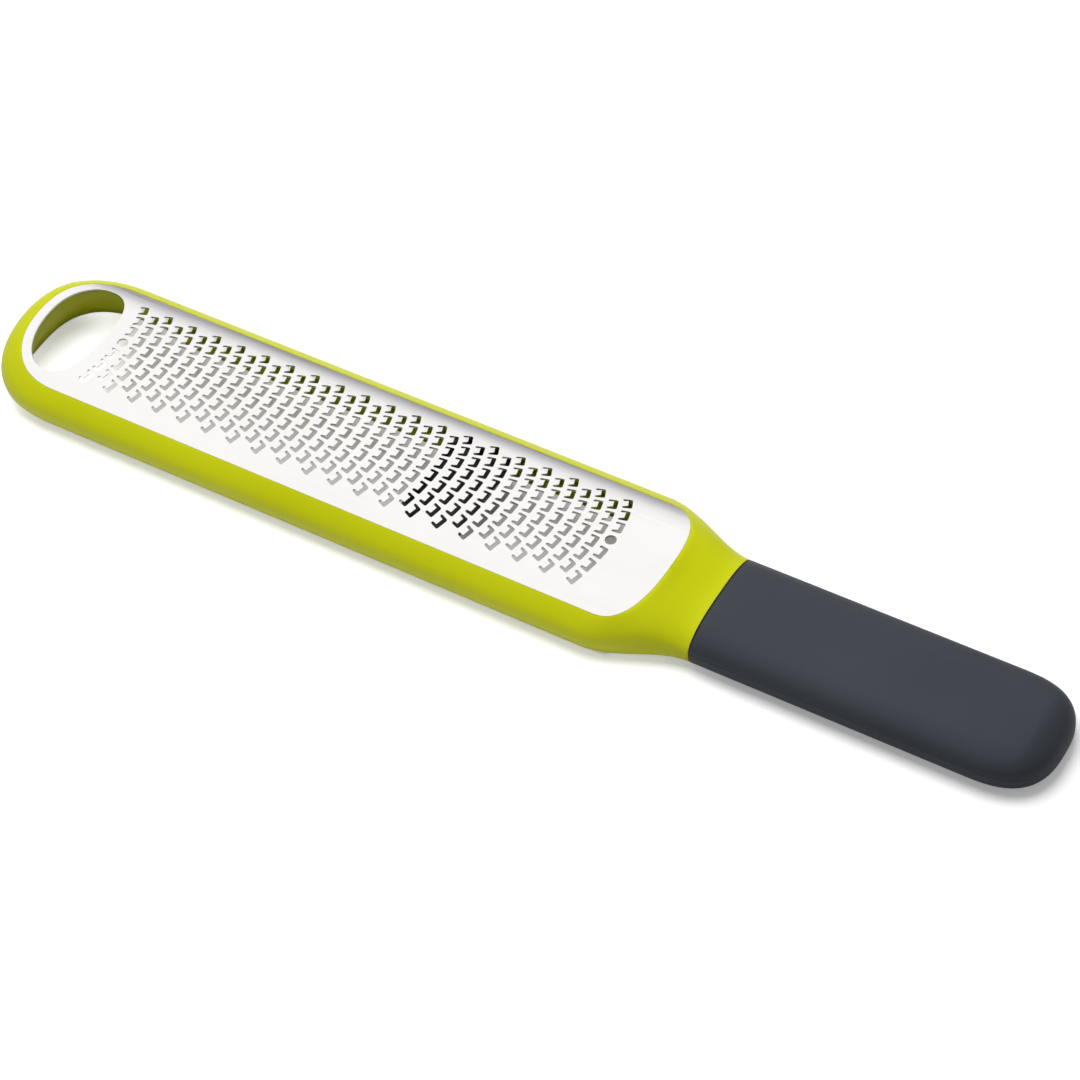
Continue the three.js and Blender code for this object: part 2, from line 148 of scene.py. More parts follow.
def rangeNode(tree, value, fromRange, toRange, curve="SMOOTHSTEP"):
    node = tree.nodes.new("ShaderNodeMapRange")
    node.interpolation_type = curve
    for name, level in zip(rangeNames, (*fromRange, *toRange)):
        if isinstance(level, bpy.types.NodeSocket):
            tree.links.new(level, node.inputs[name])
        else:
            node.inputs[name].default_value = level
    tree.links.new(value, node.inputs["Value"])
    return node.outputs["Result"]


def noiseOn(tree, scale, detail, stretch=(1, 1, 1)):
    place, mapping = tree.nodes.new("ShaderNodeTexCoord"), tree.nodes.new("ShaderNodeMapping")
    mapping.inputs["Scale"].default_value = stretch
    noise = tree.nodes.new("ShaderNodeTexNoise")
    noise.inputs["Scale"].default_value = scale
    noise.inputs["Detail"].default_value = detail
    tree.links.new(place.outputs["Object"], mapping.inputs["Vector"])
    tree.links.new(mapping.outputs["Vector"], noise.inputs["Vector"])
    return noise.outputs["Fac"]


# materials: a cloudy tint, and a fine grain for the gloss and the bump

plainFinish = {
    "metallic": 0.0,
    "specular": 0.5,
    "specularTint": (1.0, 1.0, 1.0),
    "noiseSpan": (0.3, 0.7),
    "cloudDetail": 3,
    "grainDetail": 2,
    "grainStretch": (1, 1, 1),
}
greenFinish = {
    "specular": 0.22,
    "dark": (0.485, 0.515, 0.0),
    "light": (0.520, 0.550, 0.002),
    "roughness": (0.34, 0.46),
    "cloudScale": 28,
    "grainScale": 3200,
    "bump": 0.05,
    "bumpDepth": 0.04,
}
# fine streaks run along the plate
steelFinish = {
    "metallic": 1.0,
    "dark": (0.955, 0.94, 0.925),
    "light": (0.99, 0.975, 0.96),
    "roughness": (0.17, 0.25),
    "cloudScale": 60,
    "grainScale": 900,
    "grainDetail": 4,
    "grainStretch": (0.03, 1, 1),
    "bump": 0.02,
    "bumpDepth": 0.02,
}
gripFinish = {
    "specularTint": (0.84, 0.92, 1.0),
    "dark": (0.022, 0.0245, 0.0325),
    "light": (0.027, 0.030, 0.0375),
    "roughness": (0.42, 0.54),
    "cloudScale": 35,
    "grainScale": 5200,
    "bump": 0.08,
    "bumpDepth": 0.05,
}
carrierFinish = {
    "dark": (0.034, 0.034, 0.0374),
    "light": (0.0442, 0.0442, 0.0493),
    "roughness": (0.44, 0.56),
    "cloudScale": 60,
    "grainScale": 3600,
    "bump": 0.1,
    "bumpDepth": 0.05,
}
lipFinish = {
    **carrierFinish,
    "dark": (0.027, 0.027, 0.0297),
    "light": (0.0351, 0.0351, 0.03915),
    "roughness": (0.64, 0.76),
}


def buildFinish(name, ownLook):
    look = {**plainFinish, **ownLook}
    material = bpy.data.materials.new(name)
    material.use_nodes = True
    tree = material.node_tree
    shader = tree.nodes["Principled BSDF"]
    shader.inputs["Metallic"].default_value = look["metallic"]
    shader.inputs["Specular IOR Level"].default_value = look["specular"]
    shader.inputs["Specular Tint"].default_value = (*look["specularTint"], 1)
    cloud = noiseOn(tree, look["cloudScale"], look["cloudDetail"])
    grain = noiseOn(tree, look["grainScale"], look["grainDetail"], look["grainStretch"])
    ramp = tree.nodes.new("ShaderNodeValToRGB")
    for stop, place, tone in zip(ramp.color_ramp.elements, look["noiseSpan"], (look["dark"], look["light"])):
        stop.position = place
        stop.color = (*tone, 1)
    tree.links.new(cloud, ramp.inputs["Fac"])
    tree.links.new(ramp.outputs["Color"], shader.inputs["Base Color"])
    gloss = rangeNode(tree, grain, look["noiseSpan"], look["roughness"], "LINEAR")
    tree.links.new(gloss, shader.inputs["Roughness"])
    bump = tree.nodes.new("ShaderNodeBump")
    bump.inputs["Strength"].default_value = look["bump"]
    bump.inputs["Distance"].default_value = look["bumpDepth"] * mm
    tree.links.new(grain, bump.inputs["Height"])
    tree.links.new(bump.outputs["Normal"], shader.inputs["Normal"])
    return material


green = buildFinish("satinGreen", greenFinish)
steel = buildFinish("satinSteel", steelFinish)
grey = buildFinish("softGrey", gripFinish)
wiperBlack = buildFinish("wiperBlack", carrierFinish)
lipBlack = buildFinish("lipBlack", lipFinish)
print("materials made")

# plate: outline and crown shared with the frame's seat

plateSize = {
    "thickness": 0.5,
    "crownRadius": 48.0,
    "tipRounding": 17.0,
    "tipSquareness": 2.5,
    "endRounding": 10.8,
    "endSquareness": 2.3,
    "seatClearance": 0.3,
    "mergeGap": 0.003,
    "crownGap": 0.004,
    "sharpAngle": 32,
}
holeSize = {"margin": 2.3, "length": 17.8, "width": 29.4, "squareness": 2.2, "points": 120}
holeEndX = plateTipX + holeSize["margin"] + holeSize["length"]
crown = plateSize["crownRadius"]
plateHalf = plateHigh.y
blankHalf = crown * math.asin(plateHalf / crown)
sideTurn = blankHalf / crown
crownTop = plateLow.z + plateSize["thickness"] * math.cos(sideTurn) + crown * (1 - math.cos(sideTurn))


def crownHeight(y, drop=0.0):
    return crownTop - crown + math.sqrt((crown - drop) ** 2 - y * y)


# one way round: grip end from -Y to +Y, +Y side, tip, -Y side
ringSteps = {"end": 96, "side": 64, "tip": 96}


def ringStations(breaks=()):
    shares = sorted({i / ringSteps["side"] for i in range(ringSteps["side"])} | set(breaks))
    stations = [("end", i / ringSteps["end"]) for i in range(ringSteps["end"])]
    stations += [("left", s) for s in shares]
    stations += [("tip", i / ringSteps["tip"]) for i in range(ringSteps["tip"])]
    stations += [("right", s) for s in shares]
    return stations


def onLongOutline(station, tip, end, half, tipRounding, tipSquareness, endRounding, endSquareness):
    part, share = station
    if part == "end":
        angle = (share - 0.5) * math.pi
        return (end - endRounding + endRounding * curl(math.cos(angle), 2 / endSquareness),
                half * curl(math.sin(angle), 2 / endSquareness))
    if part == "tip":
        angle = (0.5 - share) * math.pi
        return (tip + tipRounding - tipRounding * curl(math.cos(angle), 2 / tipSquareness),
                half * curl(math.sin(angle), 2 / tipSquareness))
    tipStart, endStart = tip + tipRounding, end - endRounding
    if part == "left":
        return (mix(endStart, tipStart, share), half)
    return (mix(tipStart, endStart, share), -half)


def plateEdge(station, grow=0.0):
    return onLongOutline(station, plateTipX - grow, plateEndX + grow, blankHalf + grow,
                         plateSize["tipRounding"] + grow, plateSize["tipSquareness"],
                         plateSize["endRounding"] + grow, plateSize["endSquareness"])


# frame: one green moulding, made as a closed section carried round the plate, with a neck to the grip

frameSize = {
    "width": 45.4,
    "height": crownTop,
    "wallMiddle": 5.2,
    "lipWidth": 40.8,
    "squareness": 2.0,
    "tipRounding": 23.5,
    "tipSquareness": 2.5,
    "noseLength": plateTipX - tipX,
    "shoulderLength": 25.0,
    "shoulderShare": 0.34,
    "neckDropLead": 3.0,
    "ledge": 2.2,
    "ledgeDrop": 0.5,
    "channelWidth": 36.8,
    "channelTipWall": 3.8,
    "channelTipRounding": 21.3,
    "channelTipSquareness": 2.8,
    "channelEndRounding": 9.0,
    "channelEndSquareness": 2.5,
    "channelEndGap": 3.4,
    "wallLevels": (1.5, 3.0),
    "grooveFloor": 4.2,
    "grooveHeight": 2.6,
    "grooveDepth": 0.3,
    "grooveTipLand": 2.5,
    "railTipLand": 10.0,
    "squareEnd": 0.02,
    "flareLevels": (8.0, 9.0),
    "flareHeight": 10.0,
    "edgeRound": 0.2,
    "lipFlat": 1e-4,
    "lipShare": 0.96,
    "lipRoundShare": 0.45,
    "seatGap": 0.02,
    "rimProud": 0.05,
    "rimBlend": 3.0,
    "sharpAngle": 35,
}
gripSize = {
    "width": 30.4,
    "thickness": gripHigh.z,
    "middle": 3.9,
    "squareness": 2.6,
    "gap": 0.3,
    "endRounding": 17.0,
    "endSquareness": 2.6,
    "edgeRounding": 7.0,
    "edgeRound": 0.25,
    "edgeAngles": (0, 22, 45, 68, 90),
    "mouthInset": 3.0,
    "mouldLine": 0.22,
    "mouldStep": 3,
    "mouldSide": 0.03,
    "ringPoints": 128,
    "straightRings": 24,
    "endRings": 40,
    "sharpAngle": 50,
}
loopSteps = {"over": 22, "joint": 4, "under": 14, "ledge": 3, "halvings": 40}
edgeAngles = (0, 30, 60, 90)
gripStartX = gripLow.x - gripSize["gap"]
shoulderStartX = gripStartX - frameSize["shoulderLength"]
grooveTipX = holeEndX + frameSize["grooveTipLand"]
railTipX = holeEndX + frameSize["railTipLand"]
grooveEndX = plateEndX - frameSize["channelEndGap"] - frameSize["channelEndRounding"]


def frameSection(x):
    f, g = frameSize, gripSize
    share = smooth(x, shoulderStartX, gripStartX)
    noseFall = roundOff((plateTipX - x) / f["noseLength"])
    tipFall = roundOff((tipX + f["tipRounding"] - x) / f["tipRounding"], f["tipSquareness"])
    sunk = roundOff(f["lipWidth"] / f["width"], f["squareness"])
    drop = smooth(x, plateEndX - f["neckDropLead"], gripStartX)
    top = mix(f["height"], g["thickness"], drop)
    middle = mix(f["wallMiddle"], g["middle"], share)
    return {
        "half": mix(f["width"], g["width"], share) / 2 * tipFall,
        "middle": middle,
        "up": (top - middle) * noseFall,
        "low": mix(f["wallMiddle"] / sunk, g["middle"], share) * noseFall,
        "squareness": mix(f["squareness"], g["squareness"], share),
    }


def skinHeights(x, y):
    s = frameSection(x)
    fall = roundOff(abs(y) / max(s["half"], tiny), s["squareness"])
    return s["middle"] + s["up"] * fall, max(s["middle"] - s["low"] * fall, 0)


def outerEdge(station):
    part, share = station
    rounding, half = frameSize["tipRounding"], frameSize["width"] / 2
    if part == "tip":
        angle = (0.5 - share) * math.pi
        power = 2 / frameSize["tipSquareness"]
        return (tipX + rounding - rounding * curl(math.cos(angle), power),
                half * curl(math.sin(angle), power))
    if part == "left":
        return (mix(shoulderStartX, tipX + rounding, share), half)
    if part == "right":
        return (mix(tipX + rounding, shoulderStartX, share), -half)
    bend = frameSize["shoulderShare"]
    if bend <= share <= 1 - bend:
        return (gripStartX, mix(-1, 1, (share - bend) / (1 - 2 * bend)) * gripSize["width"] / 2)
    side = -1 if share < 0.5 else 1
    x = mix(shoulderStartX, gripStartX, min(share, 1 - share) / bend)
    return (x, side * frameSection(x)["half"])


def channelEdge(station, level):
    f = frameSize
    end = plateEndX - f["channelEndGap"]
    upper = onLongOutline(station, plateTipX + f["ledge"], end, plateHalf - f["ledge"],
                          plateSize["tipRounding"] - f["ledge"], plateSize["tipSquareness"],
                          f["channelEndRounding"], f["channelEndSquareness"])
    lower = onLongOutline(station, tipX + f["channelTipWall"], end, f["channelWidth"] / 2,
                          f["channelTipRounding"], f["channelTipSquareness"],
                          f["channelEndRounding"], f["channelEndSquareness"])
    return between(lower, upper, min(max(level / f["flareHeight"], 0), 1))


def onSideWall(station, level, startX):
    return station[0] in ("left", "right") and startX <= channelEdge(station, level)[0] <= grooveEndX


def wallEdge(station, level):
    # below the groove the wall is thicker, as a rail that the wiper's runners slide on
    x, y = channelEdge(station, level)
    if onSideWall(station, 0, railTipX):
        return x, math.copysign(plateHalf - frameSize["ledge"], y)
    return x, y


def rimPoints(seat, outer):
    # just proud of the plate and rounded over, then out across the bullnose
    f = frameSize
    r = f["edgeRound"]
    span = math.dist(seat, outer)
    rimEdge = between(seat, outer, r / span)
    rimLift = max(crownHeight(seat[1]) + f["rimProud"] - skinHeights(*rimEdge)[0], 0)

    def rimHeight(p):
        return skinHeights(*p)[0] + rimLift * (1 - smooth(math.dist(p, rimEdge), 0, f["rimBlend"]))

    points = []
    for angle in edgeAngles:
        a = math.radians(angle)
        p = between(seat, outer, r * (1 - math.cos(a)) / span)
        points.append((*p, rimHeight(rimEdge) - r * (1 - math.sin(a))))
    steps = loopSteps["over"]
    for i in range(1, steps + 1):
        p = between(seat, outer, mix(r / span, 1, math.sin(i / steps * math.pi / 2)))
        points.append((*p, rimHeight(p)))
    return points


def underPoints(station, outer):
    # down the joint face at the grip, which has no height elsewhere, then under the wall to the flat lip
    f = frameSize
    top, under = skinHeights(*outer)
    points = [(*outer, mix(top, under, i / loopSteps["joint"])) for i in range(1, loopSteps["joint"])]
    lower = wallEdge(station, 0)
    lo, hi = 0.0, 1.0
    for _ in range(loopSteps["halvings"]):
        middle = (lo + hi) / 2
        if skinHeights(*between(outer, lower, middle))[1] > f["lipFlat"]:
            lo = middle
        else:
            hi = middle
    lip = min(hi, f["lipShare"])
    steps = loopSteps["under"]
    for i in range(steps + 1):
        p = between(outer, lower, lip * (1 - math.cos(i / steps * math.pi / 2)))
        points.append((*p, skinHeights(*p)[1]))
    # the lip's inner edge is rounded
    inset = min(f["edgeRound"], math.dist(outer, lower) * (1 - lip) * f["lipRoundShare"])
    base = wallEdge(station, inset)
    for angle in reversed(edgeAngles):
        a = math.radians(angle)
        p = between(base, outer, inset * (1 - math.cos(a)) / max(math.dist(base, outer), tiny))
        points.append((*p, inset * (1 - math.sin(a))))
    return points


def innerPoints(station, seat, outer):
    # inner wall with the guide groove, then the ledge under the plate
    f = frameSize
    low, high = f["grooveFloor"], f["grooveFloor"] + f["grooveHeight"]
    lowEdge, highEdge = wallEdge(station, low), channelEdge(station, high)
    deepLow, deepHigh = lowEdge, highEdge
    if onSideWall(station, low, grooveTipX):
        side = math.copysign(f["channelWidth"] / 2 + f["grooveDepth"], outer[1])
        deepLow, deepHigh = (lowEdge[0], side), (highEdge[0], side)
    points = [(*wallEdge(station, level), level) for level in f["wallLevels"]]
    points += [(*lowEdge, low), (*deepLow, low), (*deepHigh, high), (*highEdge, high)]
    points += [(*channelEdge(station, level), level) for level in f["flareLevels"]]
    inner = channelEdge(station, f["flareHeight"])
    floorDrop = plateSize["thickness"] + plateSize["seatClearance"]
    points.append((*inner, max(crownHeight(inner[1], floorDrop), f["flareHeight"] - f["ledgeDrop"])))
    for i in range(1, loopSteps["ledge"] + 1):
        p = between(inner, seat, i / loopSteps["ledge"])
        points.append((*p, crownHeight(p[1], floorDrop)))
    return points


def frameLoop(station):
    seatX, seatS = plateEdge(station, frameSize["seatGap"])
    seat = (seatX, crown * math.sin(seatS / crown))
    outer = outerEdge(station)
    return rimPoints(seat, outer) + underPoints(station, outer) + innerPoints(station, seat, outer)


def sideBreaks():
    # stations just before and after each end of the groove and the rail, so that these end square
    hair = frameSize["squareEnd"]
    breaks = []
    for x, level in ((grooveTipX, frameSize["grooveFloor"]), (railTipX, 0), (grooveEndX, 0)):
        tipStart, endStart = (channelEdge(("right", share), level)[0] for share in (0, 1))
        for place in (x - hair, x + hair):
            share = (place - tipStart) / (endStart - tipStart)
            if 0 < share < 1:
                breaks += [share, 1 - share]
    return breaks


def buildFrame():
    loops = [frameLoop(station) for station in ringStations(sideBreaks())]
    count = len(loops[0])
    verts = [p for loop in loops for p in loop]
    faces = []
    for i in range(len(loops)):
        k = (i + 1) % len(loops)
        for j in range(count):
            m = (j + 1) % count
            faces.append((i * count + j, k * count + j, k * count + m, i * count + m))
    return meshObject("greenFrame", verts, faces, green, frameSize["sharpAngle"])


greenFrame = buildFrame()
print("frame made:", len(greenFrame.data.polygons), "faces")

# grip: soft sleeve with a rounded butt

# the mould line runs a little above the widest line on both sides
mouldTurn = gripSize["mouldStep"] / gripSize["ringPoints"] * 2 * math.pi
mouldTurns = (mouldTurn, math.pi - mouldTurn)


def ringAngles():
    count = gripSize["ringPoints"]
    angles = [i / count * 2 * math.pi for i in range(count)]
    for turn in mouldTurns:
        angles += [turn - gripSize["mouldSide"], turn + gripSize["mouldSide"]]
    return sorted(angles)


gripAngles = ringAngles()


def gripRing(x, shrink=0.0):
    g = gripSize
    endFall = roundOff((x - buttX + g["endRounding"]) / g["endRounding"], g["endSquareness"])
    edgeFall = roundOff((x - buttX + g["edgeRounding"]) / g["edgeRounding"])
    half = g["width"] / 2 * endFall - shrink
    over = (g["thickness"] - g["middle"]) * edgeFall - shrink
    under = g["middle"] * edgeFall - shrink
    power = 2 / g["squareness"]
    ring = []
    for a in gripAngles:
        height, across = curl(math.sin(a), power), curl(math.cos(a), power)
        onLine = any(math.isclose(a, turn) for turn in mouldTurns)
        ridge = g["mouldLine"] * endFall * across if onLine else 0
        ring.append((x, half * across + ridge, g["middle"] + height * (over if height > 0 else under)))
    return ring


def buildGrip():
    g = gripSize
    r, start, straightEnd = g["edgeRound"], gripLow.x, buttX - g["endRounding"]
    rings = [gripRing(start, g["mouthInset"])]
    for angle in g["edgeAngles"]:
        a = math.radians(angle)
        rings.append(gripRing(start + r * (1 - math.cos(a)), r * (1 - math.sin(a))))
    for i in range(1, g["straightRings"] + 1):
        rings.append(gripRing(mix(start + r, straightEnd, i / g["straightRings"])))
    for i in range(1, g["endRings"] + 1):
        rings.append(gripRing(straightEnd + g["endRounding"] * math.sin(i / g["endRings"] * math.pi / 2)))
    verts = [p for ring in rings for p in ring]
    count = len(gripAngles)
    faces = [tuple(range(count - 1, -1, -1))]
    for k in range(len(rings) - 1):
        for i in range(count):
            j = (i + 1) % count
            faces.append((k * count + i, k * count + j, (k + 1) * count + j, (k + 1) * count + i))
    return meshObject("softGrip", verts, faces, grey, g["sharpAngle"])


softGrip = buildGrip()
print("grip made:", len(softGrip.data.polygons), "faces")

# teeth: laid out on the flat blank, x along the tool and s across it

toothSize = {
    "columnPitch": 7.25,
    "rowPitch": 4.11,
    "columnRadius": 30.0,
    "holeLand": 5.0,
    "apronLand": 15.5,
    "sideLand": 5.0,
    "slotLength": 2.35,
    "slotWidth": 3.35,
    "arm": 0.7,
    "armPoints": 6,
    "bar": 1.0,
    "barRound": 0.45,
    "barPoints": 4,
    "rise": 0.2,
    "curlPower": 1.25,
    "taper": 0.06,
    "edgeThickness": 0.2,
    "bladeSteps": 5,
    "rootSteps": 4,
    "sharpAngle": 30,
    "locatingRadius": 1.4,
    "locatingPoints": 32,
}
# loose points that keep the apron's faces short
apronGrid = {
    "depth": 13,
    "columns": 7,
    "step": 2,
    "half": 15,
    "rows": 11,
    "across": 3,
    "start": 11,
    "rimGap": 1.2,
}
rootSteps = toothSize["rootSteps"]


def toothField():
    t = toothSize
    firstX = holeEndX + t["holeLand"]
    return firstX, math.floor((plateEndX - t["apronLand"] - firstX) / t["columnPitch"])


def toothSpots():
    t = toothSize
    firstX, pitches = toothField()
    sideRows = math.floor((blankHalf - t["sideLand"]) / t["rowPitch"])
    spots, locating = [], []
    for k in range(2 * pitches + 1):
        shifted = k % 2
        x = firstX + k * t["columnPitch"] / 2
        for j in range(-sideRows, sideRows + 1 - shifted):
            s = (j + shifted / 2) * t["rowPitch"]
            if j == 0 and k in (0, 2 * pitches):
                locating.append((x, s))
                continue
            turn = math.asin(s / t["columnRadius"])
            spots.append((x - t["columnRadius"] * (1 - math.cos(turn)), s, turn))
    return spots, locating


def tongueRoot():
    t = toothSize
    return t["arm"] / 2 - t["slotLength"] / 2, t["slotWidth"] / 2 - t["arm"]


def slotOutline():
    t = toothSize
    armRound, barRound, side = t["arm"] / 2, t["barRound"], t["slotWidth"] / 2
    rootU, root = tongueRoot()
    endU = t["slotLength"] / 2
    half = []
    for i in range(t["armPoints"] + 1):  # round end of the arm, from the tongue's root out to the side
        a = math.pi / 2 + i / t["armPoints"] * math.pi
        half.append((rootU + armRound * math.cos(a), -(side - armRound) + armRound * math.sin(a)))
    for i in range(t["barPoints"] + 1):  # corner of the bar
        a = -math.pi / 2 + i / t["barPoints"] * math.pi / 2
        half.append((endU - barRound + barRound * math.cos(a), -(side - barRound) + barRound * math.sin(a)))
    rootLine = [(rootU, mix(root, -root, i / rootSteps)) for i in range(1, rootSteps)]
    return half + [(u, -v) for u, v in reversed(half)] + rootLine


def toothMesh():
    t = toothSize
    rootU, root = tongueRoot()
    edgeU = t["slotLength"] / 2 - t["bar"]
    steps = t["bladeSteps"]
    verts, faces = [], []
    for layer in (0, 1):
        for i in range(steps + 1):
            share = i / steps
            lift = t["rise"] * share ** t["curlPower"]
            thick = mix(plateSize["thickness"], t["edgeThickness"], share)
            for j in range(rootSteps + 1):
                v = mix(-root, root, j / rootSteps) * (1 - t["taper"] / root * share)
                verts.append((mix(rootU, edgeU, share), v, lift - layer * thick))
    wide, layerSize = rootSteps + 1, (steps + 1) * (rootSteps + 1)
    for i in range(steps):
        for j in range(rootSteps):
            a = i * wide + j
            quad = (a, a + wide, a + wide + 1, a + 1)
            faces.append(quad)
            faces.append(tuple(layerSize + v for v in reversed(quad)))
    for i in range(steps):
        a, b = i * wide, (i + 1) * wide
        faces.append((a, layerSize + a, layerSize + b, b))
        a, b = a + rootSteps, b + rootSteps
        faces.append((a, b, layerSize + b, layerSize + a))
    for j in range(rootSteps):
        a = steps * wide + j
        faces.append((a, layerSize + a, layerSize + a + 1, a + 1))
    mesh = bpy.data.meshes.new("toothBlade")
    mesh.from_pydata(inMetres(verts), [], faces)
    softEdges(mesh, t["sharpAngle"])
    return mesh


def ovalPoints(centreX, centreS, length, width, squareness, count):
    power = 2 / squareness
    turns = [i / count * 2 * math.pi for i in range(count)]
    return [(centreX + length / 2 * curl(math.cos(a), power), centreS + width / 2 * curl(math.sin(a), power))
            for a in turns]


def sheetLoops(spots, locating):
    # outlines on the flat blank, each with the number of its last edges that a tongue's root closes
    h, t = holeSize, toothSize
    loops = [([plateEdge(station) for station in ringStations()], 0)]
    holeX = holeEndX - h["length"] / 2
    loops.append((ovalPoints(holeX, 0, h["length"], h["width"], h["squareness"], h["points"]), 0))
    wide = 2 * t["locatingRadius"]
    for x, s in locating:
        loops.append((ovalPoints(x, s, wide, wide, 2, t["locatingPoints"]), 0))
    outline = slotOutline()
    for x, s, turn in spots:
        c, d = math.cos(turn), math.sin(turn)
        loops.append(([(x + u * c - v * d, s + u * d + v * c) for u, v in outline], rootSteps))
    return loops


def apronPoints():
    g = apronGrid
    points = []
    for i in range(g["columns"]):
        for j in range(g["rows"]):
            x, s = plateEndX - g["depth"] + i * g["step"], j * g["across"] - g["half"]
            fall = plateSize["endRounding"] * (1 - roundOff(abs(s) / blankHalf, plateSize["endSquareness"]))
            if plateEndX - g["start"] < x < plateEndX - fall - g["rimGap"]:
                points.append(Vector((x, s)))
    return points


def sheetFaces(faces, edges):
    # spread from the rim without crossing an outline, so that every hole stays open
    fence = {frozenset(edge) for edge in edges}
    owners = {}
    for index, face in enumerate(faces):
        for a, b in zip(face, face[1:] + face[:1]):
            owners.setdefault(frozenset((a, b)), []).append(index)
    kept, waiting = set(), list(owners[frozenset(edges[0])])
    while waiting:
        index = waiting.pop()
        if index in kept:
            continue
        kept.add(index)
        face = faces[index]
        for a, b in zip(face, face[1:] + face[:1]):
            pair = frozenset((a, b))
            if pair not in fence:
                waiting += owners[pair]
    return [faces[index] for index in sorted(kept)]


def flatSheet(spots, locating):
    verts, edges, walls = [], [], []
    for index, (loop, openEdges) in enumerate(sheetLoops(spots, locating)):
        base, n = len(verts), len(loop)
        verts += [Vector(p) for p in loop]
        for i in range(n):
            a, b = base + i, base + (i + 1) % n
            edges.append((a, b))
            if i < n - openEdges:
                walls.append((a, b) if index == 0 else (b, a))
    points, _, faces, *_ = delaunay_2d_cdt(verts + apronPoints(), edges, [], 1, tiny)
    return points, sheetFaces(faces, edges), walls


def blankMesh(spots, locating):
    points, faces, walls = flatSheet(spots, locating)
    n = len(points)
    verts = [(p.x, p.y, 0) for p in points] + [(p.x, p.y, -plateSize["thickness"]) for p in points]
    skins = []
    for face in faces:
        a, b, c = (points[i] for i in face[:3])
        up = (b - a).cross(c - a) > 0
        ring = tuple(face) if up else tuple(reversed(face))
        skins.append(ring)
        skins.append(tuple(n + i for i in reversed(ring)))
    skins += [(a, n + a, n + b, b) for a, b in walls]
    mesh = bpy.data.meshes.new("graterPlate")
    mesh.from_pydata(inMetres(verts), [], skins)
    mesh.materials.append(steel)
    return mesh


def rollTree():
    # teeth on the blank's spots, then blank and teeth rolled to the crown
    tree = bpy.data.node_groups.new("rollPlate", "GeometryNodeTree")
    face = tree.interface
    face.new_socket("Geometry", in_out="INPUT", socket_type="NodeSocketGeometry")
    sockets = {}
    for name, kind in (("Spots", "NodeSocketObject"), ("Tooth", "NodeSocketObject"),
                       ("Crown Radius", "NodeSocketFloat"), ("Crown Top", "NodeSocketFloat"),
                       ("Finish", "NodeSocketMaterial")):
        sockets[name] = face.new_socket(name, in_out="INPUT", socket_type=kind).identifier
    face.new_socket("Geometry", in_out="OUTPUT", socket_type="NodeSocketGeometry")
    make, link = tree.nodes.new, tree.links.new
    given = make("NodeGroupInput")
    spots, tooth = make("GeometryNodeObjectInfo"), make("GeometryNodeObjectInfo")
    turn = make("GeometryNodeInputNamedAttribute")
    turn.data_type = "FLOAT"
    turn.inputs["Name"].default_value = "turn"
    spin = make("ShaderNodeCombineXYZ")
    stand = make("GeometryNodeInstanceOnPoints")
    join, real = make("GeometryNodeJoinGeometry"), make("GeometryNodeRealizeInstances")
    link(given.outputs["Spots"], spots.inputs["Object"])
    link(given.outputs["Tooth"], tooth.inputs["Object"])
    link(spots.outputs["Geometry"], stand.inputs["Points"])
    link(tooth.outputs["Geometry"], stand.inputs["Instance"])
    link(turn.outputs["Attribute"], spin.inputs["Z"])
    link(spin.outputs["Vector"], stand.inputs["Rotation"])
    link(given.outputs["Geometry"], join.inputs["Geometry"])
    link(stand.outputs["Instances"], join.inputs["Geometry"])
    link(join.outputs["Geometry"], real.inputs["Geometry"])
    place, split = make("GeometryNodeInputPosition"), make("ShaderNodeSeparateXYZ")
    link(place.outputs["Position"], split.inputs["Vector"])
    radius = given.outputs["Crown Radius"]
    angle = mathNode(tree, "DIVIDE", split.outputs["Y"], radius)
    reach = mathNode(tree, "ADD", radius, split.outputs["Z"])
    across = mathNode(tree, "MULTIPLY", reach, mathNode(tree, "SINE", angle))
    up = mathNode(tree, "MULTIPLY", reach, mathNode(tree, "COSINE", angle))
    axis = mathNode(tree, "SUBTRACT", given.outputs["Crown Top"], radius)
    rolled = make("ShaderNodeCombineXYZ")
    link(split.outputs["X"], rolled.inputs["X"])
    link(across, rolled.inputs["Y"])
    link(mathNode(tree, "ADD", up, axis), rolled.inputs["Z"])
    move, paint = make("GeometryNodeSetPosition"), make("GeometryNodeSetMaterial")
    link(real.outputs["Geometry"], move.inputs["Geometry"])
    link(rolled.outputs["Vector"], move.inputs["Position"])
    link(move.outputs["Geometry"], paint.inputs["Geometry"])
    link(given.outputs["Finish"], paint.inputs["Material"])
    link(paint.outputs["Geometry"], make("NodeGroupOutput").inputs["Geometry"])
    return tree, sockets


def crownNormals(mesh):
    # the sheet's faces take the crown's own normal, so its long triangles leave no facets
    normals = np.zeros(len(mesh.loops) * 3)
    mesh.corner_normals.foreach_get("vector", normals)
    normals = normals.reshape(-1, 3)
    co = np.zeros(len(mesh.vertices) * 3)
    mesh.vertices.foreach_get("co", co)
    radial = co.reshape(-1, 3) - np.array([0, 0, (crownTop - crown) * mm])
    radial[:, 0] = 0
    reach = np.linalg.norm(radial, axis=1)
    radial /= reach[:, None]
    top, under = crown * mm, (crown - plateSize["thickness"]) * mm
    close = plateSize["crownGap"] * mm
    onTop, onUnder = np.abs(reach - top) < close, np.abs(reach - under) < close
    for face in mesh.polygons:
        loops = list(face.loop_indices)
        ids = [mesh.loops[i].vertex_index for i in loops]
        if onTop[ids].all():
            normals[loops] = radial[ids]
        elif onUnder[ids].all():
            normals[loops] = -radial[ids]
    mesh.normals_split_custom_set([tuple(n) for n in normals])


